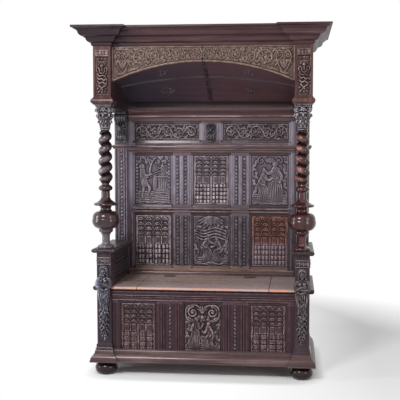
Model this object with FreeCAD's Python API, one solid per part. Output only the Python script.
import FreeCAD, Part
import math
import os
from FreeCAD import Vector

# Canopied hall settle in carved hardwood: a chest seat with a lifting lid, panelled arms and
# back, twisted front columns, and an arched canopy under a deep cornice.
# Lengths are in millimetres. X runs to the sitter's left, Y from front to back and Z up.
# Sizes are set out from the front faces of the lower posts; the last step moves everything
# so that the origin is the middle of the bench's footprint, on the floor.

# Whole bench
TOTAL_HEIGHT = 2150
CORNICE_OVERHANG = 108
BACK_Y = 533

# Feet, posts and blocks
FOOT_HEIGHT = 86
FOOT_RADIUS = 70
SPIGOT_RADIUS = 14
POST_X = 614
POST_SIZE = 90
POST_IN = POST_X - POST_SIZE / 2
POST_OUT = POST_X + POST_SIZE / 2
POST_TOP = 768
COLUMN_X = 611
COLUMN_Y = 45
BACK_POST_IN = 560
BACK_POST_FRONT = 473
BACK_LEG_FRONT = 443
BACK_FOOT_Y = 463
BLOCK_IN = 560
BLOCK_OUT = 668
BLOCK_FRONT = -9
BLOCK_BACK = 99
BLOCK_BOTTOM = 1684
FRIEZE_TOP = 2036

# Chest
CHEST_FRONT = 18
FRAME_THICK = 28
CHEST_PANEL_LOW = 139
CHEST_PANEL_HIGH = 451
SEAT_UNDER = 530
SEAT_TOP = 556
PLINTH_TOP = 165
PLINTH_OVERHANG = 41
CHEST_CENTRE_HALF = 111
CHEST_MUNTIN_OUT = 299
CHEST_STILE_IN = 513
CHEST_ROPE_X = 203

# Seat and lid
LID_HALF = 411
LID_BACK = 421.5
HINGE_RAIL_FRONT = 423.5
HINGE_Y = 422.5
HINGE_Z = 558
HINGE_X = 270
KNUCKLE_RADIUS = 5
PIN_RADIUS = 2.5
PIN_CLEARANCE = 0.05
KNUCKLE_GROOVE = 5.6
NOSE_FRONT = 5
LID_JOINT_Y = 200

# Arms
ARM_IN = 571
ARM_THICK = 28
ARM_REST_IN = 545
ARM_REST_OUT = 685
CAP_OVERHANG = 27
CAP_TOP = 796

# Back frame
BACK_FRAME_THICK = 32
BACK_PANEL_FRONT = 483
BACK_STILE_IN = 518
BACK_MUNTIN_OUT = 277
BACK_MUNTIN_IN = 118
FRIEZE_PANEL_IN = 85
LOWER_ROW = (620, 960)
MIDDLE_ROW = (1038, 1367)
FRIEZE_ROW = (1473, 1583)
BACK_ROPES = (173, 227)
LEDGE_TOP = 1693

# Canopy
ARCH_HALF = 549
ARCH_SPRING = 1828
ARCH_CROWN = 1943
ARCH_FRONT = 26
ARCH_BACK = 50
CEILING_THICK = 12
CEILING_TIER_Y = 250
CEILING_BACK_Y = 465
RIB_HALF = 12
SIDE_SOFFIT = 1662

# Joints
GROOVE = 10
TENON = 26
PEG_RADIUS = 4

nodes = {}


def box(x0, x1, y0, y1, z0, z1):
    """A block between two values on each axis."""
    return Part.makeBox(x1 - x0, y1 - y0, z1 - z0, Vector(x0, y0, z0))


def rod(radius, start, end):
    """A round bar from one point to another."""
    way = end - start
    return Part.makeCylinder(radius, way.Length, start, way)


def join(*shapes):
    """One solid from solids that touch."""
    return shapes[0].multiFuse(list(shapes[1:])).removeSplitter()


def other_side(shape):
    """The same piece on the other side of the bench."""
    return shape.mirror(Vector(0, 0, 0), Vector(1, 0, 0))


def pair(shape):
    """A right-hand piece and its left-hand twin."""
    return [shape, other_side(shape)]


def outline(steps, place):
    """A closed face from steps: a point is a straight line to it, two points are an arc."""
    here = place(*steps[0])
    first = here
    edges = []
    for step in steps[1:]:
        if isinstance(step[0], tuple):
            middle, end = place(*step[0]), place(*step[1])
            edges.append(Part.Arc(here, middle, end).toShape())
        else:
            end = place(*step)
            edges.append(Part.makeLine(here, end))
        here = end
    if (here - first).Length > 0.01:
        edges.append(Part.makeLine(here, first))
    return Part.Face(Part.Wire(edges))


def along_x(steps, x0, x1):
    """A bar along X whose section is drawn as (y, z) steps."""
    face = outline(steps, lambda y, z: Vector(x0, y, z))
    return face.extrude(Vector(x1 - x0, 0, 0))


def plate(steps, y0, y1):
    """A plate along Y whose face is drawn as (x, z) steps."""
    face = outline(steps, lambda x, z: Vector(x, y0, z))
    return face.extrude(Vector(0, y1 - y0, 0))


def turned(steps, x, y):
    """A lathe piece about an upright axis, drawn as (radius, z) steps."""
    face = outline(steps, lambda r, z: Vector(x + r, y, z))
    return face.revolve(Vector(x, y, 0), Vector(0, 0, 1), 360)


def moulding(profile, start, end, corners, margin=170):
    """A straight run of moulding with mitred ends.

    The profile is drawn as (distance out, z) steps. Each corner is 1 where the moulding
    turns away round an outer corner, -1 in an inner corner and 0 where it is cut square.
    """
    run = Vector(end[0] - start[0], end[1] - start[1], 0)
    length = run.Length
    run = run.normalize()
    out = Vector(run.y, -run.x, 0)
    a = Vector(start[0], start[1], 0)
    low = a - run * margin
    face = outline(profile, lambda o, z: low + out * o + Vector(0, 0, z))
    bar = face.extrude(run * (length + 2 * margin))
    limits = bar.BoundBox
    near, far = -60, 130
    b = a + run * length
    ground = [a + out * near - run * near * corners[0], a + out * far - run * far * corners[0],
              b + out * far + run * far * corners[1], b + out * near + run * near * corners[1]]
    lift = Vector(0, 0, limits.ZMin - 1)
    plan = Part.Face(Part.makePolygon([p + lift for p in ground] + [ground[0] + lift]))
    return bar.common(plan.extrude(Vector(0, 0, limits.ZLength + 2)))


def fielded_panel(x0, x1, y_front, z0, z1, tongue_front, tongue=10, tongue_thick=10):
    """A panel whose edges run in grooves and whose middle stands forward."""
    board = box(x0 - tongue, x1 + tongue, tongue_front, tongue_front + tongue_thick, z0 - tongue, z1 + tongue)
    field = box(x0 + 3, x1 - 3, y_front, tongue_front, z0 + 3, z1 - 3)
    return join(board, field)


def arch_radius():
    """Radius of the arch through its two springing points and its crown."""
    rise = ARCH_CROWN - ARCH_SPRING
    return (ARCH_HALF ** 2 + rise ** 2) / (2 * rise)


def ceiling_height(x, y):
    """Underside of the coved ceiling: arched in front, straight where it meets the back."""
    depth = (y - ARCH_BACK) / (CEILING_BACK_Y - ARCH_BACK)
    reach = 0.97 * depth
    wall = LEDGE_TOP + (ARCH_SPRING - LEDGE_TOP) * math.sqrt(1 - reach ** 2)
    return wall + (ARCH_CROWN - ARCH_SPRING) * (1 - (x / BLOCK_IN) ** 2) * (1 - reach)


def make_feet():
    foot = turned([(0, 0), (44, 0), (44, 1), ((62.9, 15.4), (FOOT_RADIUS, 38)), ((64, 58.3), (48, 72)),
                   (50, 75), (50, FOOT_HEIGHT), (SPIGOT_RADIUS, FOOT_HEIGHT), (SPIGOT_RADIUS, 128), (0, 128)], 0, 0)
    feet = []
    for x in (-POST_X, POST_X):
        for y in (COLUMN_Y, BACK_FOOT_Y):
            feet.append(foot.translated(Vector(x, y, 0)))
    nodes["bun_feet"] = feet


def make_front_posts():
    post = box(POST_IN, POST_OUT, 0, POST_SIZE, FOOT_HEIGHT, POST_TOP)
    collar = [(0, 198), (5, 192), (5, 186), ((7, 172), (12, 166)), (12, PLINTH_TOP), (0, PLINTH_TOP)]
    corners = [(POST_IN, CHEST_FRONT), (POST_IN, 0), (POST_OUT, 0), (POST_OUT, POST_SIZE)]
    ends = [(0, 1), (1, 1), (1, 0)]
    base = [moulding(collar, corners[i], corners[i + 1], ends[i]) for i in range(3)]
    cut_for = box(POST_IN - 20, POST_IN, CHEST_FRONT, POST_SIZE, 100, 220)
    post = join(post, *base).cut(cut_for)
    nodes["right_front_post"] = [post]
    nodes["left_front_post"] = [other_side(post)]


def make_term_figures():
    profile = [(0, 206), (10, 212), ((17, 232), (12, 252)), ((26, 290), (16, 325)), ((30, 360), (20, 395)),
               ((27, 440), (33, 500)), ((40, 540), (34, 560)), ((44, 585), (38, 612)), ((20, 622), (14, 630)),
               ((24, 655), (15, 678)), (20, 684), (12, 690), (0, 690)]
    figure = turned(profile, POST_X - 1, 4).common(box(500, 700, -60, 0, 100, 800))
    nodes["term_figures"] = pair(figure)


def make_pedestal_caps():
    steps = [(-POST_SIZE / 2, CAP_TOP), (10, CAP_TOP), ((20, 794), (CAP_OVERHANG, 786)), (CAP_OVERHANG, 780),
             ((20, 772), (6, 768)), (0, 768), (-POST_SIZE / 2, 768)]
    corners = [(POST_IN, POST_SIZE), (POST_IN, 0), (POST_OUT, 0), (POST_OUT, POST_SIZE), (POST_IN, POST_SIZE)]
    sides = [moulding(steps, corners[i], corners[i + 1], (1, 1)) for i in range(4)]
    cap = join(*sides)
    hole = rod(SPIGOT_RADIUS, Vector(COLUMN_X, COLUMN_Y, 700), Vector(COLUMN_X, COLUMN_Y, 900))
    nodes["pedestal_caps"] = pair(cap.cut(hole))


def make_columns():
    baluster = [(0, 730), (SPIGOT_RADIUS, 730), (SPIGOT_RADIUS, CAP_TOP), (50, CAP_TOP), ((52, 804), (48, 812)),
                (38, 816), ((27, 823), (24, 838)), (24, 872), (27, 880), (31, 887), (35, 893), ((44, 902), (42, 911)),
                (46, 916), ((82, 948), (81, 982)), ((70, 1014), (42, 1026)), (33, 1034), (32, 1044), (38, 1056),
                (68, 1062), ((73, 1069), (64, 1077)), (50, 1084), ((36, 1096), (27, 1110)), (26, 1150),
                (36, 1156), ((43, 1168), (36, 1182)), (24, 1190), (22, 1197), (30, 1204), (34, 1208), (0, 1208)]
    capital = [(0, 1526), (33, 1526), ((37, 1535), (32, 1544)), (23, 1547), ((24, 1580), (34, 1612)),
               ((42, 1624), (52, 1630)), ((60, 1642), (54, 1656)), (46, 1662), (48, 1672), (SPIGOT_RADIUS, 1672),
               (SPIGOT_RADIUS, 1722), (0, 1722)]
    baluster_piece = turned(baluster, COLUMN_X, COLUMN_Y)
    abacus = box(COLUMN_X - 52, COLUMN_X + 52, COLUMN_Y - 52, COLUMN_Y + 52, 1666, BLOCK_BOTTOM)
    volutes = []
    for turn in range(4):
        angle = math.radians(45 + 90 * turn)
        out = Vector(math.cos(angle), math.sin(angle), 0)
        across = Vector(-math.sin(angle), math.cos(angle), 0) * 7
        middle = Vector(COLUMN_X, COLUMN_Y, 1650) + out * 52
        volutes.append(rod(15, middle - across, middle + across))
    capital_piece = join(turned(capital, COLUMN_X, COLUMN_Y), abacus, *volutes)
    nodes["right_baluster"] = [baluster_piece]
    nodes["left_baluster"] = [other_side(baluster_piece)]
    nodes["right_capital"] = [capital_piece]
    nodes["left_capital"] = [other_side(capital_piece)]
    shaft = twist_shaft()
    nodes["right_twist_shaft"] = [shaft]
    nodes["left_twist_shaft"] = [other_side(shaft)]


def twist_shaft():
    """The barley-twist length: a round section that circles the axis as it climbs."""
    bottom, top = 1208, 1526
    pitch = 63.6
    swing = 11.5
    radius_bottom, radius_top = 35.5, 30.5
    steps = int(round((top - bottom) / pitch * 10))
    rings = []
    for i in range(steps + 1):
        share = i / steps
        angle = -2 * math.pi * (top - bottom) * share / pitch
        centre = Vector(COLUMN_X + swing * math.cos(angle), COLUMN_Y + swing * math.sin(angle),
                        bottom + (top - bottom) * share)
        ring = Part.Circle(centre, Vector(0, 0, 1), radius_bottom + (radius_top - radius_bottom) * share)
        rings.append(Part.Wire([ring.toShape()]))
    return Part.makeLoft(rings, True, False)


def plinth_profile():
    return [(0, FOOT_HEIGHT), (PLINTH_OVERHANG, FOOT_HEIGHT), (PLINTH_OVERHANG, 96), (38, 97), ((34, 116), (24, 128)),
            (20, 130), (20, 136), (14, 139), (14, 150), ((12, 156), (6, 160)), (6, PLINTH_TOP), (0, PLINTH_TOP)]


def make_plinth():
    profile = plinth_profile()
    points = [(-POST_OUT, BACK_Y), (-POST_OUT, 0), (-POST_IN, 0), (-POST_IN, CHEST_FRONT),
              (POST_IN, CHEST_FRONT), (POST_IN, 0), (POST_OUT, 0), (POST_OUT, BACK_Y)]
    ends = [(0, 1), (1, 1), (1, -1), (-1, -1), (-1, 1), (1, 1), (1, 0)]
    runs = [moulding(profile, points[i], points[i + 1], ends[i]) for i in range(7)]
    nodes["plinth_sides"] = [runs[0], runs[6]]
    nodes["plinth_front"] = [join(runs[1], runs[2]), runs[3], join(runs[4], runs[5])]


def make_chest_front():
    back = CHEST_FRONT + FRAME_THICK
    tenon_y = (CHEST_FRONT + 9, CHEST_FRONT + 19)
    top = along_x([(8, SEAT_UNDER), (8, 524), ((10, 514), (16, 511)), (16, 507), (CHEST_FRONT, 505),
                   (CHEST_FRONT, 496), (14, 493), (14, 489), (CHEST_FRONT, 486), (CHEST_FRONT, CHEST_PANEL_HIGH),
                   (back, CHEST_PANEL_HIGH), (back, SEAT_UNDER)], -POST_IN, POST_IN)
    bottom = box(-POST_IN, POST_IN, CHEST_FRONT, back, FOOT_HEIGHT, CHEST_PANEL_LOW)
    top = join(top, *pair(box(POST_IN, POST_IN + 40, tenon_y[0], tenon_y[1], 462, 520)))
    bottom = join(bottom, *pair(box(POST_IN, POST_IN + 28, tenon_y[0], tenon_y[1], 96, 132)))
    low, high = CHEST_PANEL_LOW, CHEST_PANEL_HIGH
    muntin = box(CHEST_CENTRE_HALF, CHEST_MUNTIN_OUT, CHEST_FRONT, back, low, high)
    muntin = join(muntin, box(150, 260, tenon_y[0], tenon_y[1], low - TENON, high + TENON))
    stile = box(CHEST_STILE_IN, POST_IN, CHEST_FRONT, back, low, high)
    stile = join(stile, box(528, 556, tenon_y[0], tenon_y[1], low - TENON, high + TENON))
    for x in (CHEST_CENTRE_HALF + 18, CHEST_ROPE_X - 26, CHEST_ROPE_X + 26, CHEST_MUNTIN_OUT - 18):
        muntin = muntin.cut(rod(5, Vector(x, CHEST_FRONT - 1, low - 1), Vector(x, CHEST_FRONT - 1, high + 1)))
    centre = fielded_panel(-CHEST_CENTRE_HALF, CHEST_CENTRE_HALF, CHEST_FRONT + 4, low, high, CHEST_FRONT + 10)
    side = fielded_panel(CHEST_MUNTIN_OUT, CHEST_STILE_IN, CHEST_FRONT + 4, low, high, CHEST_FRONT + 10)
    nodes["chest_top_rail"] = [top]
    nodes["chest_bottom_rail"] = [bottom]
    nodes["chest_uprights"] = pair(muntin) + pair(stile)
    nodes["chest_centre_panel"] = [centre]
    nodes["chest_tracery_panels"] = pair(side)


def make_chest_sides():
    inner = POST_OUT - FRAME_THICK
    tenon_x = (inner + 9, inner + 19)
    rails = []
    for z0, z1, t0, t1 in ((FOOT_HEIGHT, 180, 96, 170), (440, SEAT_UNDER, 450, 520)):
        rail = box(inner, POST_OUT, POST_SIZE, BACK_LEG_FRONT, z0, z1)
        rails.append(join(rail, box(tenon_x[0], tenon_x[1], POST_SIZE - 40, BACK_LEG_FRONT + 40, t0, t1)))
    panel = box(tenon_x[0], tenon_x[1], POST_SIZE - GROOVE, BACK_LEG_FRONT + GROOVE, 170, 450)
    panel = join(panel, box(tenon_x[1], POST_OUT - 4, POST_SIZE + 40, BACK_LEG_FRONT - 40, 220, 400))
    nodes["chest_side_rails"] = pair(rails[0]) + pair(rails[1])
    nodes["chest_side_panels"] = pair(panel)


def make_chest_inside():
    inner = POST_OUT - FRAME_THICK
    floor = box(-inner, inner, CHEST_FRONT + FRAME_THICK, 500, 120, 134)
    notches = pair(box(POST_IN, inner, 0, POST_SIZE, 100, 150)) + pair(box(POST_IN, inner, BACK_LEG_FRONT, 510, 100, 150))
    back = box(-POST_IN - GROOVE, POST_IN + GROOVE, 500, 516, 110, SEAT_UNDER)
    nodes["chest_floor"] = [floor.cut(notches)]
    nodes["chest_back_board"] = [back]


def seat_section(y0, y1):
    """Section of a seat board; the front one has a rounded nosing."""
    if y0 > NOSE_FRONT:
        return [(y0, SEAT_UNDER), (y0, SEAT_TOP), (y1, SEAT_TOP), (y1, SEAT_UNDER)]
    return [(18, SEAT_UNDER), (12, 534), ((NOSE_FRONT, 545), (13, SEAT_TOP)), (y1, SEAT_TOP), (y1, SEAT_UNDER)]


def knuckle_groove():
    return rod(KNUCKLE_GROOVE, Vector(HINGE_X - 42, HINGE_Y, HINGE_Z), Vector(HINGE_X + 42, HINGE_Y, HINGE_Z))


def make_seat():
    end_board = along_x(seat_section(NOSE_FRONT, BACK_POST_FRONT), LID_HALF, POST_OUT)
    end_board = end_board.cut(box(POST_IN, POST_OUT + 5, -5, POST_SIZE, 500, 600))
    rail = along_x(seat_section(HINGE_RAIL_FRONT, BACK_POST_FRONT), -LID_HALF, LID_HALF)
    grooves = pair(knuckle_groove())
    lid_x = LID_HALF - 1
    front = along_x(seat_section(NOSE_FRONT, LID_JOINT_Y), -lid_x, lid_x)
    rear = along_x(seat_section(LID_JOINT_Y, LID_BACK), -lid_x, lid_x)
    tongue = box(-lid_x, lid_x, LID_JOINT_Y, LID_JOINT_Y + 8, 539, 547)
    rear = rear.cut(tongue).cut(grooves)
    front = join(front, tongue)
    rail = rail.cut(grooves)
    battens = []
    for x in (-300, 0, 300):
        battens.append(along_x([(60, SEAT_UNDER), (66, 508), (390, 508), (396, SEAT_UNDER)], x - 25, x + 25))
    side = moulding([(0, SEAT_UNDER), (12, SEAT_UNDER), ((24, 534), (29, 543)), (29, 551), (24, SEAT_TOP),
                     (0, SEAT_TOP)], (POST_OUT, 12), (POST_OUT, BACK_Y), (0, 0))
    nodes["seat_end_boards"] = pair(end_board)
    nodes["seat_hinge_rail"] = [rail]
    nodes["lid_front_board"] = [front]
    nodes["lid_back_board"] = [rear]
    nodes["lid_battens"] = battens
    nodes["seat_side_mouldings"] = pair(side)


def make_hinges():
    """Two butt hinges let into the top of the seat, each with three knuckles on a pin."""
    axis = lambda x: Vector(x, HINGE_Y, HINGE_Z)
    bore = rod(PIN_RADIUS + PIN_CLEARANCE, axis(HINGE_X - 60), axis(HINGE_X + 60))
    top = SEAT_TOP
    lid_leaf = box(HINGE_X - 38, HINGE_X + 38, 388, LID_BACK, top - 2, top)
    lid_leaf = lid_leaf.cut(rod(KNUCKLE_GROOVE, axis(HINGE_X - 50), axis(HINGE_X + 50)))
    web = box(HINGE_X - 12, HINGE_X + 12, 414, HINGE_Y, top - 2, top)
    lid_leaf = join(lid_leaf, web, rod(KNUCKLE_RADIUS, axis(HINGE_X - 12), axis(HINGE_X + 12))).cut(bore)
    rail_leaf = box(HINGE_X - 38, HINGE_X + 38, HINGE_RAIL_FRONT, 457, top - 2, top)
    rail_leaf = rail_leaf.cut(rod(KNUCKLE_GROOVE, axis(HINGE_X - 50), axis(HINGE_X + 50)))
    parts = [rail_leaf]
    for x0, x1 in ((-38, -12.4), (12.4, 38)):
        parts.append(box(HINGE_X + x0, HINGE_X + x1, HINGE_Y, 431, top - 2, top))
        parts.append(rod(KNUCKLE_RADIUS, axis(HINGE_X + x0), axis(HINGE_X + x1)))
    rail_leaf = join(*parts).cut(bore)
    pin = rod(PIN_RADIUS, axis(HINGE_X - 39), axis(HINGE_X + 39))
    for end, inward in ((-39, 1), (39, -1)):
        pin = join(pin, rod(4, axis(HINGE_X + end), axis(HINGE_X + end - inward * 2)))
    recesses = box(HINGE_X - 38, HINGE_X + 38, 388, 457, top - 2, top + 1)
    for name in ("lid_back_board", "seat_hinge_rail"):
        nodes[name] = [nodes[name][0].cut(pair(recesses))]
    nodes["hinge_lid_leaves"] = pair(lid_leaf)
    nodes["hinge_fixed_leaves"] = pair(rail_leaf)
    nodes["hinge_pins"] = pair(pin)


def make_arms():
    outer = ARM_IN + ARM_THICK
    tenon_x = (ARM_IN + 9, ARM_IN + 19)
    rails = []
    for z0, z1, t0, t1 in ((SEAT_TOP, 590, 560, 580), (712, POST_TOP, 722, 760)):
        rail = box(ARM_IN, outer, POST_SIZE, BACK_POST_FRONT, z0, z1)
        rails.append(join(rail, box(tenon_x[0], tenon_x[1], POST_SIZE - 30, BACK_POST_FRONT + 30, t0, t1)))
    panel = box(tenon_x[0], tenon_x[1], POST_SIZE - GROOVE, BACK_POST_FRONT + GROOVE, 580, 722)
    panel = join(panel, box(ARM_IN + 3, tenon_x[0], POST_SIZE + 25, BACK_POST_FRONT - 28, 596, 706))
    rest = plate([(ARM_REST_IN + 8, 768), ((ARM_REST_IN + 1, 776), (ARM_REST_IN, 784)), (ARM_REST_IN + 6, 792),
                  (ARM_REST_OUT - 6, 792), (ARM_REST_OUT, 784), ((ARM_REST_OUT - 1, 776), (ARM_REST_OUT - 8, 768))],
                 POST_SIZE + CAP_OVERHANG, BACK_POST_FRONT)
    rest = join(rest, box(580, 640, BACK_POST_FRONT, BACK_POST_FRONT + TENON, 771, 787))
    nodes["arm_rails"] = pair(rails[0]) + pair(rails[1])
    nodes["arm_panels"] = pair(panel)
    nodes["arm_rests"] = pair(rest)


def make_back_posts():
    upper = box(BACK_POST_IN, POST_OUT, BACK_POST_FRONT, BACK_Y, SEAT_UNDER, FRIEZE_TOP)
    lower = box(POST_IN, POST_OUT, BACK_LEG_FRONT, BACK_Y, FOOT_HEIGHT, SEAT_UNDER)
    post = join(upper, lower)
    for x in (578, 590, 624, 636):
        post = post.cut(rod(4, Vector(x, BACK_POST_FRONT - 1, 806), Vector(x, BACK_POST_FRONT - 1, 1404)))
    nodes["right_back_post"] = [post]
    nodes["left_back_post"] = [other_side(post)]


def make_post_brackets():
    """Scrolled consoles on the back posts that carry the canopy's side soffits."""
    steps = [(BACK_POST_FRONT, 1456), (462, 1456), ((446, 1478), (456, 1502)), ((464, 1530), (446, 1562)),
             ((408, 1600), (414, 1640)), (414, SIDE_SOFFIT), (BACK_POST_FRONT, SIDE_SOFFIT)]
    nodes["back_post_brackets"] = pair(along_x(steps, 572, 648))


def make_back_frame():
    front, back = BACK_POST_FRONT, BACK_POST_FRONT + BACK_FRAME_THICK
    tongue_y = (487, 497)
    stile = box(BACK_STILE_IN, BACK_POST_IN, front, back, SEAT_UNDER, 1700)
    stile = join(stile, box(BACK_POST_IN, BACK_POST_IN + GROOVE, tongue_y[0], tongue_y[1], SEAT_UNDER, 1700))
    rails = {"back_bottom_rail": (SEAT_UNDER, LOWER_ROW[0]), "back_middle_rail": (LOWER_ROW[1], MIDDLE_ROW[0]),
             "back_string_rail": (MIDDLE_ROW[1], FRIEZE_ROW[0]), "back_top_rail": (FRIEZE_ROW[1], 1700)}
    for name, (z0, z1) in rails.items():
        rail = box(-BACK_STILE_IN, BACK_STILE_IN, front, back, z0, z1)
        tenon = box(-BACK_STILE_IN - TENON, BACK_STILE_IN + TENON, tongue_y[0], tongue_y[1], z0 + 14, z1 - 14)
        nodes[name] = [join(rail, tenon)]
    muntins = []
    for z0, z1 in (LOWER_ROW, MIDDLE_ROW):
        muntin = box(BACK_MUNTIN_IN, BACK_MUNTIN_OUT, front, back, z0, z1)
        for x in (BACK_MUNTIN_IN + 16, 200, BACK_MUNTIN_OUT - 16):
            muntin = muntin.cut(rod(5, Vector(x, front - 1, z0 - 1), Vector(x, front - 1, z1 + 1)))
        tenon = box(150, 245, tongue_y[0], tongue_y[1], z0 - TENON, z1 + TENON)
        muntins += pair(join(muntin, tenon))
    frieze_muntin = box(-FRIEZE_PANEL_IN, FRIEZE_PANEL_IN, front, back, FRIEZE_ROW[0], FRIEZE_ROW[1])
    mask = box(-28, 28, 455, front, 1462, 1578).common(turned(
        [(0, 1462), ((22, 1474), (20, 1500)), ((27, 1540), (20, 1570)), (0, 1578)], 0, front))
    tenon = box(-50, 50, tongue_y[0], tongue_y[1], FRIEZE_ROW[0] - TENON, FRIEZE_ROW[1] + TENON)
    muntins.append(join(frieze_muntin, mask, tenon))
    nodes["back_stiles"] = pair(stile)
    nodes["back_muntins"] = muntins


def back_panel(x0, x1, row):
    return fielded_panel(x0, x1, BACK_PANEL_FRONT - 3, row[0], row[1], 487)


def make_back_panels():
    lower_side = back_panel(BACK_MUNTIN_OUT, BACK_STILE_IN, LOWER_ROW)
    middle_side = back_panel(BACK_MUNTIN_OUT, BACK_STILE_IN, MIDDLE_ROW)
    lower_centre = back_panel(-BACK_MUNTIN_IN, BACK_MUNTIN_IN, LOWER_ROW)
    middle_centre = back_panel(-BACK_MUNTIN_IN, BACK_MUNTIN_IN, MIDDLE_ROW)
    frieze = back_panel(FRIEZE_PANEL_IN, BACK_STILE_IN, FRIEZE_ROW)
    nodes["back_tracery_panels"] = pair(lower_side) + [middle_centre]
    nodes["back_figure_panels"] = pair(middle_side) + [lower_centre]
    nodes["back_frieze_panels"] = pair(frieze)


def make_bead_strips():
    """Half-round strips cut as rows of beads, planted on the muntins and the back posts."""
    strips = []
    for x in BACK_ROPES:
        for z0, z1 in (LOWER_ROW, MIDDLE_ROW):
            strips += pair(half_rod(x, BACK_POST_FRONT, z0 + 2, z1 - 2))
    strips += pair(half_rod(607, BACK_POST_FRONT, 800, 1408))
    strips += pair(half_rod(CHEST_ROPE_X, CHEST_FRONT, CHEST_PANEL_LOW + 28, CHEST_PANEL_HIGH - 2))
    nodes["bead_strips"] = strips


def half_rod(x, y, z0, z1, radius=6):
    whole = rod(radius, Vector(x, y, z0), Vector(x, y, z1))
    return whole.common(box(x - 10, x + 10, y - 10, y, z0, z1))


def make_back_mouldings():
    """Mouldings planted across the back: at the seat, below the frieze and under the ceiling."""
    y = BACK_POST_FRONT
    base = along_x([(y, SEAT_TOP), (459, SEAT_TOP), (459, 566), ((462, 578), (468, 582)), (468, 590), (y, 594)],
                   -BACK_POST_IN, BACK_POST_IN)
    string = along_x([(y, 1392), (464, 1392), ((462, 1402), (452, 1408)), (452, 1414), ((440, 1420), (440, 1430)),
                      (446, 1438), (y, 1440)], -BACK_POST_IN, BACK_POST_IN)
    ledge = along_x([(y, 1600), (466, 1600), (466, 1610), ((460, 1622), (450, 1628)), (450, 1638), ((440, 1662), (426, 1668)),
                     (422, 1674), (422, 1688), (428, LEDGE_TOP), (y, LEDGE_TOP)], -BACK_POST_IN, BACK_POST_IN)
    brackets = nodes["back_post_brackets"]
    cap = [(0, 1412), (8, 1412), ((10, 1420), (15, 1424)), (15, 1434), (8, 1440), (0, 1440)]
    corners = [(POST_OUT - 11, y), (POST_OUT, y), (POST_OUT, BACK_Y)]
    front_cap = moulding(cap, (BACK_POST_IN, y), (POST_OUT, y), (0, 1))
    side_cap = moulding(cap, corners[1], corners[2], (1, 0))
    nodes["back_mouldings"] = [base, string, ledge.cut(brackets)] + pair(join(front_cap, side_cap))


def make_canopy_blocks():
    block = box(BLOCK_IN, BLOCK_OUT, BLOCK_FRONT, BLOCK_BACK, BLOCK_BOTTOM, FRIEZE_TOP)
    base = [(0, BLOCK_BOTTOM), (5, BLOCK_BOTTOM), (5, 1690), ((15, 1700), (14, 1710)), ((10, 1718), (4, 1720)),
            (4, 1726), (0, 1728)]
    corners = [(BLOCK_IN, BLOCK_BACK), (BLOCK_IN, BLOCK_FRONT), (BLOCK_OUT, BLOCK_FRONT), (BLOCK_OUT, BLOCK_BACK)]
    ends = [(0, 1), (1, 1), (1, 0)]
    trim = [moulding(base, corners[i], corners[i + 1], ends[i]) for i in range(3)]
    block = join(block, *trim)
    recess = box(BLOCK_IN + 14, BLOCK_OUT - 14, BLOCK_FRONT - 1, BLOCK_FRONT + 12, 1738, FRIEZE_TOP - 60)
    panel = box(BLOCK_IN + 14, BLOCK_OUT - 14, BLOCK_FRONT + 2, BLOCK_FRONT + 12, 1738, FRIEZE_TOP - 60)
    mask = turned([(0, 1746), ((16, 1775), (8, 1800)), ((34, 1840), (22, 1880)), ((30, 1920), (12, 1950)), (0, 1955)],
                  POST_X, BLOCK_FRONT + 4).common(box(500, 700, -40, BLOCK_FRONT + 2, 1700, 2000))
    nodes["canopy_block_panels"] = pair(join(panel, mask))
    block = block.cut(recess)
    nodes["right_canopy_block"] = [block]
    nodes["left_canopy_block"] = [other_side(block)]


def make_arch_board():
    spring = ARCH_SPRING
    board = plate([(-BLOCK_IN, spring), (-ARCH_HALF, spring), ((0, ARCH_CROWN), (ARCH_HALF, spring)),
                   (BLOCK_IN, spring), (BLOCK_IN, FRIEZE_TOP), (-BLOCK_IN, FRIEZE_TOP)], ARCH_FRONT, ARCH_BACK)
    tongues = box(-BLOCK_IN - 15, BLOCK_IN + 15, ARCH_FRONT + 7, ARCH_FRONT + 17, spring + 10, FRIEZE_TOP - 10)
    tongues = tongues.cut(box(-BLOCK_IN, BLOCK_IN, 0, 100, 1700, 2100))
    radius = arch_radius()
    centre_z = ARCH_CROWN - radius
    reach = math.degrees(math.asin(ARCH_HALF / radius))
    bead_face = outline([(radius, ARCH_FRONT), ((radius + 5, ARCH_FRONT - 5), (radius + 10, ARCH_FRONT))],
                        lambda r, y: Vector(0, y, centre_z + r))
    bead = bead_face.revolve(Vector(0, 0, centre_z), Vector(0, 1, 0), reach)
    bead = join(bead, other_side(bead)) if bead.isValid() else bead
    nodes["arch_frieze_board"] = [join(board, tongues, bead)]


def make_canopy_sides():
    outer = box(640, BLOCK_OUT, BLOCK_BACK - 14, BACK_POST_FRONT, BLOCK_BOTTOM, FRIEZE_TOP)
    outer = join(outer, box(POST_OUT, BLOCK_OUT, BACK_POST_FRONT, BACK_Y, BLOCK_BOTTOM, FRIEZE_TOP))
    inner = box(BLOCK_IN, 574, BLOCK_BACK - 10, BACK_POST_FRONT + GROOVE, BLOCK_BOTTOM, FRIEZE_TOP)
    soffit = moulding([(0, 1684), (0, SIDE_SOFFIT), (104, SIDE_SOFFIT), ((108, 1668), (114, 1672)), (114, 1684)],
                      (POST_X + 54, BLOCK_BACK), (POST_X + 54, BACK_POST_FRONT), (0, 0))
    soffit = soffit.mirror(Vector(POST_X + 54, 0, 0), Vector(1, 0, 0))
    nodes["canopy_side_boards"] = pair(outer)
    nodes["canopy_end_panels"] = pair(inner) + pair(soffit)


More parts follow.
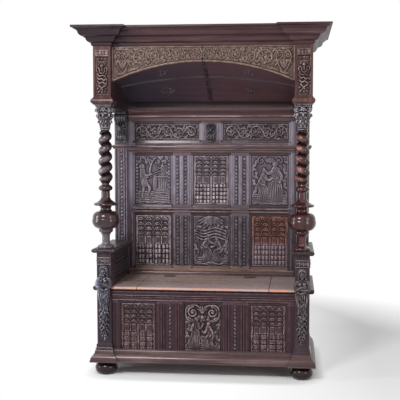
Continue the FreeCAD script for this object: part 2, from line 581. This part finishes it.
def ceiling_board(x0, x1, y0, y1, rows=5):
    """A bent ceiling board between two depths, as a loft through arched strips."""
    strips = []
    for i in range(rows):
        y = y0 + (y1 - y0) * i / (rows - 1)
        xm = (x0 + x1) / 2
        under = [Vector(x, y, ceiling_height(x, y)) for x in (x0, xm, x1)]
        over = [p + Vector(0, 0, CEILING_THICK) for p in under]
        edges = [Part.Arc(*under).toShape(), Part.makeLine(under[2], over[2]),
                 Part.Arc(over[2], over[1], over[0]).toShape(), Part.makeLine(over[0], under[0])]
        strips.append(Part.Wire(edges))
    return Part.makeLoft(strips, True, False)


def make_ceiling():
    front = ceiling_board(RIB_HALF, BLOCK_IN, ARCH_BACK, CEILING_TIER_Y)
    rear = ceiling_board(RIB_HALF, BLOCK_IN, CEILING_TIER_Y, CEILING_BACK_Y)
    boards = pair(front) + pair(rear)
    nodes["ceiling_boards"] = boards
    lower = []
    upper = []
    count = 8
    for i in range(count + 1):
        y = ARCH_BACK + (CEILING_BACK_Y - ARCH_BACK) * i / count
        lower.append((y, ceiling_height(0, y) - 8))
        upper.append((y, ceiling_height(0, y) + CEILING_THICK))
    rib = along_x(lower + upper[::-1], -RIB_HALF, RIB_HALF)
    bosses = []
    for y in (150, 385):
        for x in (-278, 278):
            z = ceiling_height(x, y)
            slope = math.atan2(ceiling_height(x, y + 20) - ceiling_height(x, y - 20), 40)
            cone = Part.makeCone(44, 8, 22, Vector(0, 0, 0), Vector(0, 0, -1))
            tall = box(-60, 60, -60, 60, -30, 8).rotated(Vector(0, 0, 0), Vector(0, 0, 1), 45)
            boss = cone.common(tall.common(box(-32, 32, -32, 32, -30, 8)))
            boss = boss.rotated(Vector(0, 0, 0), Vector(1, 0, 0), math.degrees(slope))
            bosses.append(boss.translated(Vector(x, y, z - 1)))
    nodes["ceiling_rib_and_bosses"] = [rib] + [boss.cut(boards) for boss in bosses]


def cornice_profile():
    out = CORNICE_OVERHANG
    return [(-30, FRIEZE_TOP), (-30, TOTAL_HEIGHT), (out, TOTAL_HEIGHT), (out, 2138), ((96, 2135), (88, 2127)),
            (80, 2126), (80, 2121), (75, 2120), ((67, 2099), (46, 2090)), (42, 2090), (42, 2083), (36, 2082),
            ((30, 2066), (14, 2057)), (10, 2057), (10, 2049), ((8, 2042), (0, FRIEZE_TOP))]


def make_cornice():
    profile = cornice_profile()
    points = [(-BLOCK_OUT, BACK_Y), (-BLOCK_OUT, BLOCK_FRONT), (-BLOCK_IN, BLOCK_FRONT), (-BLOCK_IN, ARCH_FRONT),
              (BLOCK_IN, ARCH_FRONT), (BLOCK_IN, BLOCK_FRONT), (BLOCK_OUT, BLOCK_FRONT), (BLOCK_OUT, BACK_Y)]
    ends = [(0, 1), (1, 1), (1, -1), (-1, -1), (-1, 1), (1, 1), (1, 0)]
    runs = [moulding(profile, points[i], points[i + 1], ends[i]) for i in range(7)]
    nodes["cornice_sides"] = [runs[0], runs[6]]
    nodes["cornice_front"] = [join(runs[1], runs[2]), runs[3], join(runs[4], runs[5])]


def make_canopy_boards():
    inside = BLOCK_OUT - 30
    dust = box(-inside, inside, ARCH_FRONT + 30, BACK_Y, 2100, 2112)
    dust = join(dust, *pair(box(BLOCK_IN + 30, inside, BLOCK_FRONT + 30, ARCH_FRONT + 30, 2100, 2112)))
    back = box(-BACK_POST_IN - GROOVE, BACK_POST_IN + GROOVE, 508, 520, 1690, FRIEZE_TOP)
    back = join(back, box(-inside, inside, 508, 520, FRIEZE_TOP, 2100))
    nodes["canopy_boards"] = [dust, back]


def make_pegs():
    """Draw pegs through the main mortise and tenon joints."""
    pegs = []
    for z in (114, 491):
        pegs += pair(rod(PEG_RADIUS, Vector(POST_IN + 20, 0, z), Vector(POST_IN + 20, 60, z)))
    for z in (576, 1000, 1460, 1650):
        pegs += pair(rod(PEG_RADIUS, Vector(BACK_STILE_IN + 14, BACK_POST_FRONT, z),
                         Vector(BACK_STILE_IN + 14, BACK_POST_FRONT + BACK_FRAME_THICK, z)))
    nodes["draw_pegs"] = pegs


def fit_joints():
    """Cut the mortises, grooves and sockets that take tenons, tongues, spigots and pegs."""
    back_rails = ["back_bottom_rail", "back_middle_rail", "back_string_rail", "back_top_rail"]
    back_panels = ["back_tracery_panels", "back_figure_panels", "back_frieze_panels"]
    chest_panels = ["chest_centre_panel", "chest_tracery_panels"]
    chest_rails = ["chest_top_rail", "chest_bottom_rail"]
    joints = [
        (["left_front_post", "right_front_post"],
         ["bun_feet", "chest_side_rails", "chest_side_panels", "arm_rails", "arm_panels", "left_baluster",
          "right_baluster", "draw_pegs"] + chest_rails),
        (["left_back_post", "right_back_post"],
         ["bun_feet", "chest_side_rails", "chest_side_panels", "arm_rails", "arm_panels", "arm_rests",
          "chest_back_board", "back_stiles", "canopy_end_panels", "canopy_boards"]),
        (["back_stiles"], back_rails + back_panels + ["draw_pegs"]),
        (back_rails, back_panels + ["back_muntins", "draw_pegs"]),
        (["back_muntins"], back_panels),
        (chest_rails, chest_panels + ["chest_uprights", "draw_pegs"]),
        (["chest_uprights"], chest_panels),
        (["chest_side_rails"], ["chest_side_panels"]),
        (["arm_rails"], ["arm_panels"]),
        (["left_canopy_block", "right_canopy_block"],
         ["arch_frieze_board", "canopy_side_boards", "canopy_end_panels", "left_capital", "right_capital"]),
        (["back_mouldings"], ["bead_strips", "back_post_brackets", "canopy_end_panels"]),
        (["ceiling_boards", "ceiling_rib_and_bosses"], ["back_mouldings"]),
    ]
    for takers, givers in joints:
        tools = [solid for giver in givers for solid in nodes[giver]]
        for taker in takers:
            nodes[taker] = [cut_where_met(solid, tools) for solid in nodes[taker]]


def cut_where_met(solid, tools):
    """The solid less those tools that reach into its box."""
    met = [tool for tool in tools if tool.BoundBox.intersect(solid.BoundBox)]
    return solid.cut(met) if met else solid


def export():
    os.makedirs("parts", exist_ok=True)
    front = BLOCK_FRONT - CORNICE_OVERHANG
    shift = Vector(0, -(front + BACK_Y) / 2, 0)
    for name, solids in sorted(nodes.items()):
        shape = Part.makeCompound([solid.translated(shift) for piece in solids for solid in piece.Solids])
        shape.exportStep("parts/" + name + ".step")
        good = all(solid.isValid() for solid in shape.Solids)
        print(name, len(shape.Solids), "solids", "valid" if good else "BROKEN")


make_feet()
make_front_posts()
make_term_figures()
make_pedestal_caps()
make_columns()
make_plinth()
make_chest_front()
make_chest_sides()
make_chest_inside()
make_seat()
make_hinges()
make_arms()
make_back_posts()
make_post_brackets()
make_back_frame()
make_back_panels()
make_bead_strips()
make_back_mouldings()
make_canopy_blocks()
make_arch_board()
make_canopy_sides()
make_ceiling()
make_cornice()
make_canopy_boards()
make_pegs()
fit_joints()
export()
